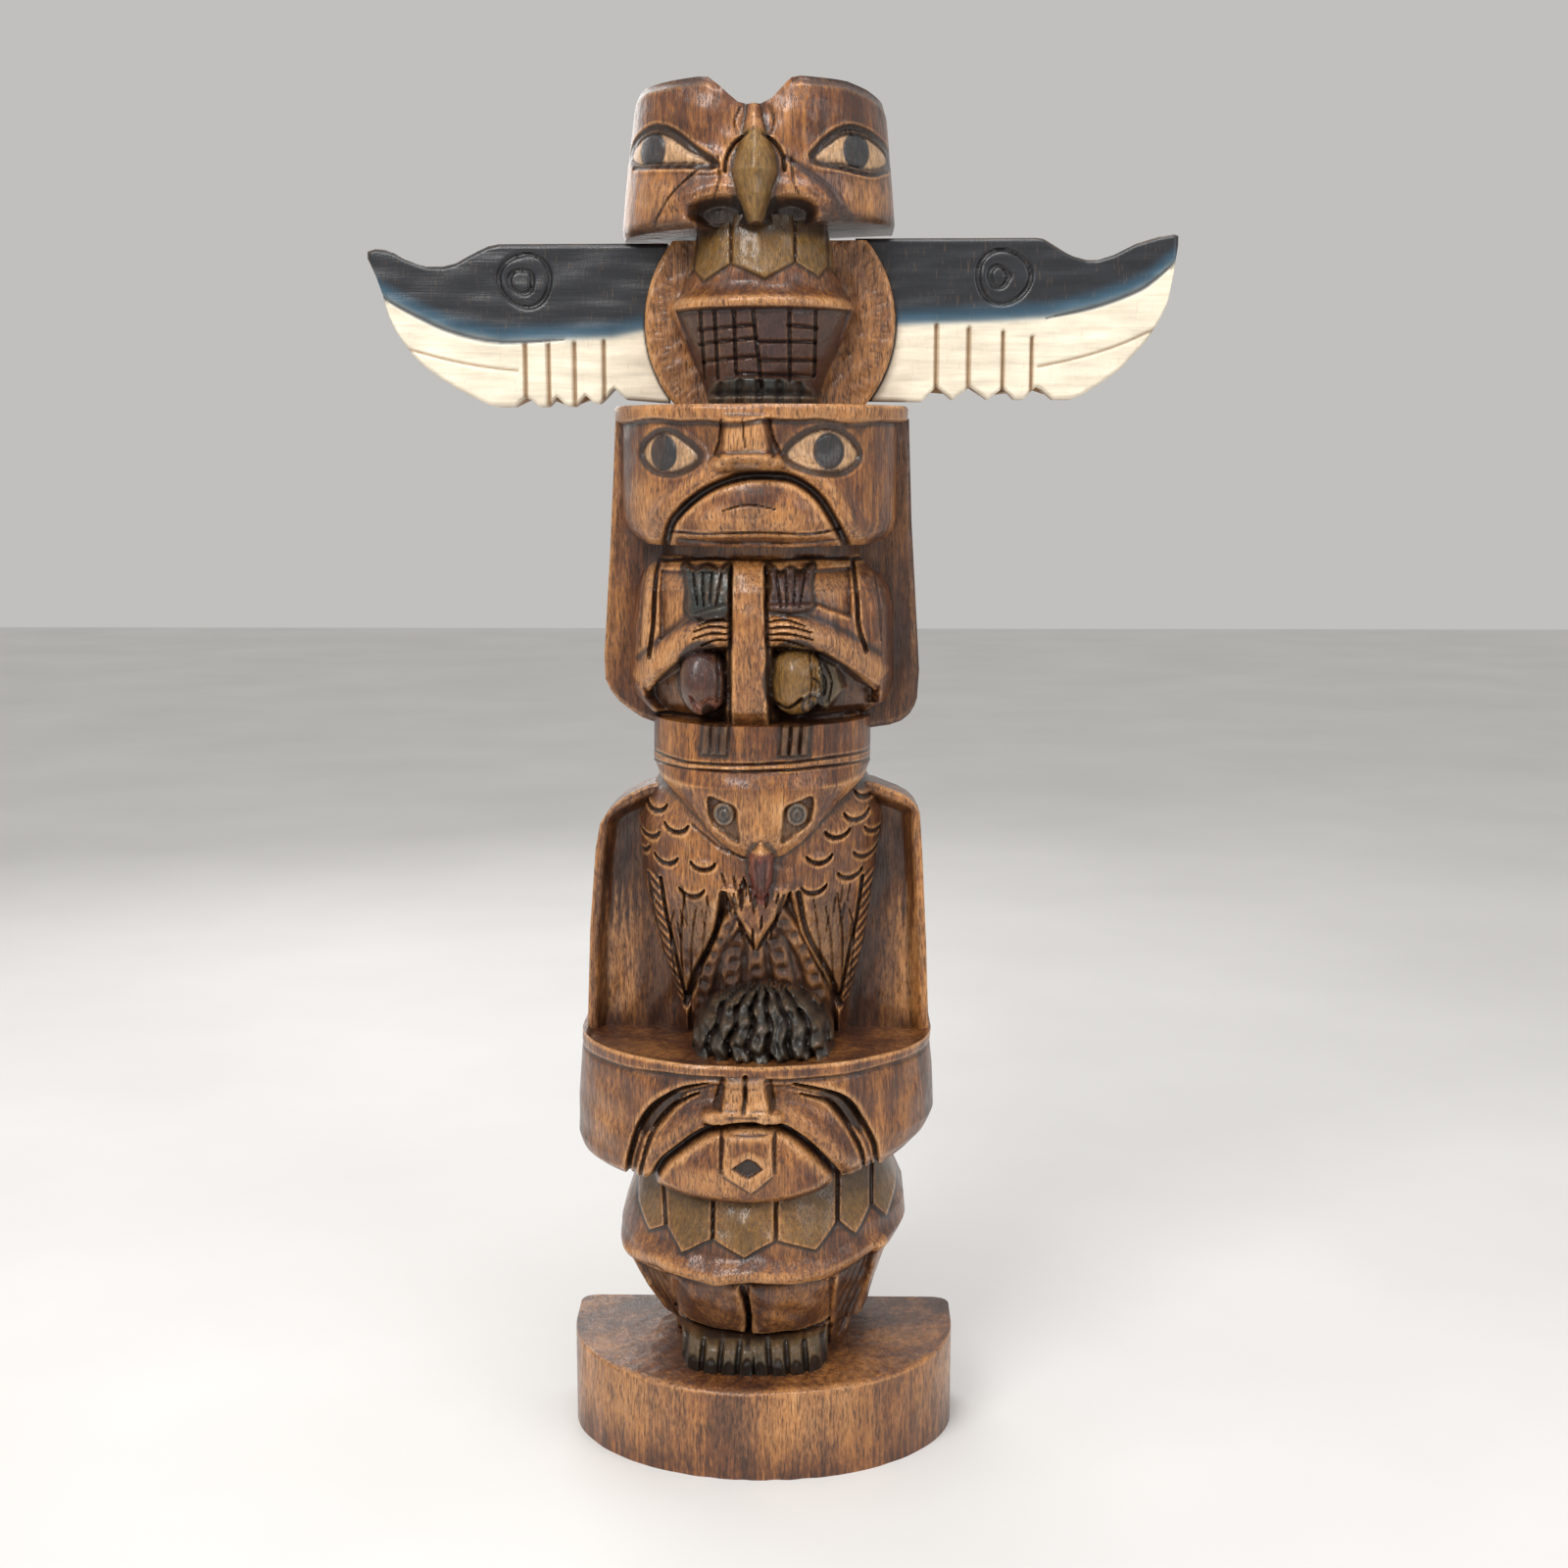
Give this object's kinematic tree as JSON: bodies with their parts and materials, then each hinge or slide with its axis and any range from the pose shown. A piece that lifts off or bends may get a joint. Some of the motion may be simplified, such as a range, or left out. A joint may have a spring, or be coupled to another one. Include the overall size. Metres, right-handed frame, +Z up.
{
  "type": "totem pole",
  "caption": "Carved half-log pole of stacked figures on a curved base, with a pair of painted wings let into its sides, flat at the back so it stands against a wall.",
  "frame": {"origin": "under the middle of the whole, halfway between the wing tips and between the flat back and the front of the base, level with the underside", "axes": "+Z up the pole, -Y the way the carved face looks, +X to the right as seen from the front"},
  "size_m": [0.4666, 0.125, 0.801],
  "materials": {
    "varnished_wood": "brown stain under gloss varnish, dark in the cuts, with ochre, green, maroon and black paint on small parts",
    "painted_wing": "satin paint, slate black above fading through blue to cream below"
  },
  "bodies": {
    "root": {"pole": "varnished_wood", "left_wing": "painted_wing", "right_wing": "painted_wing"}
  },
  "joints": []
}
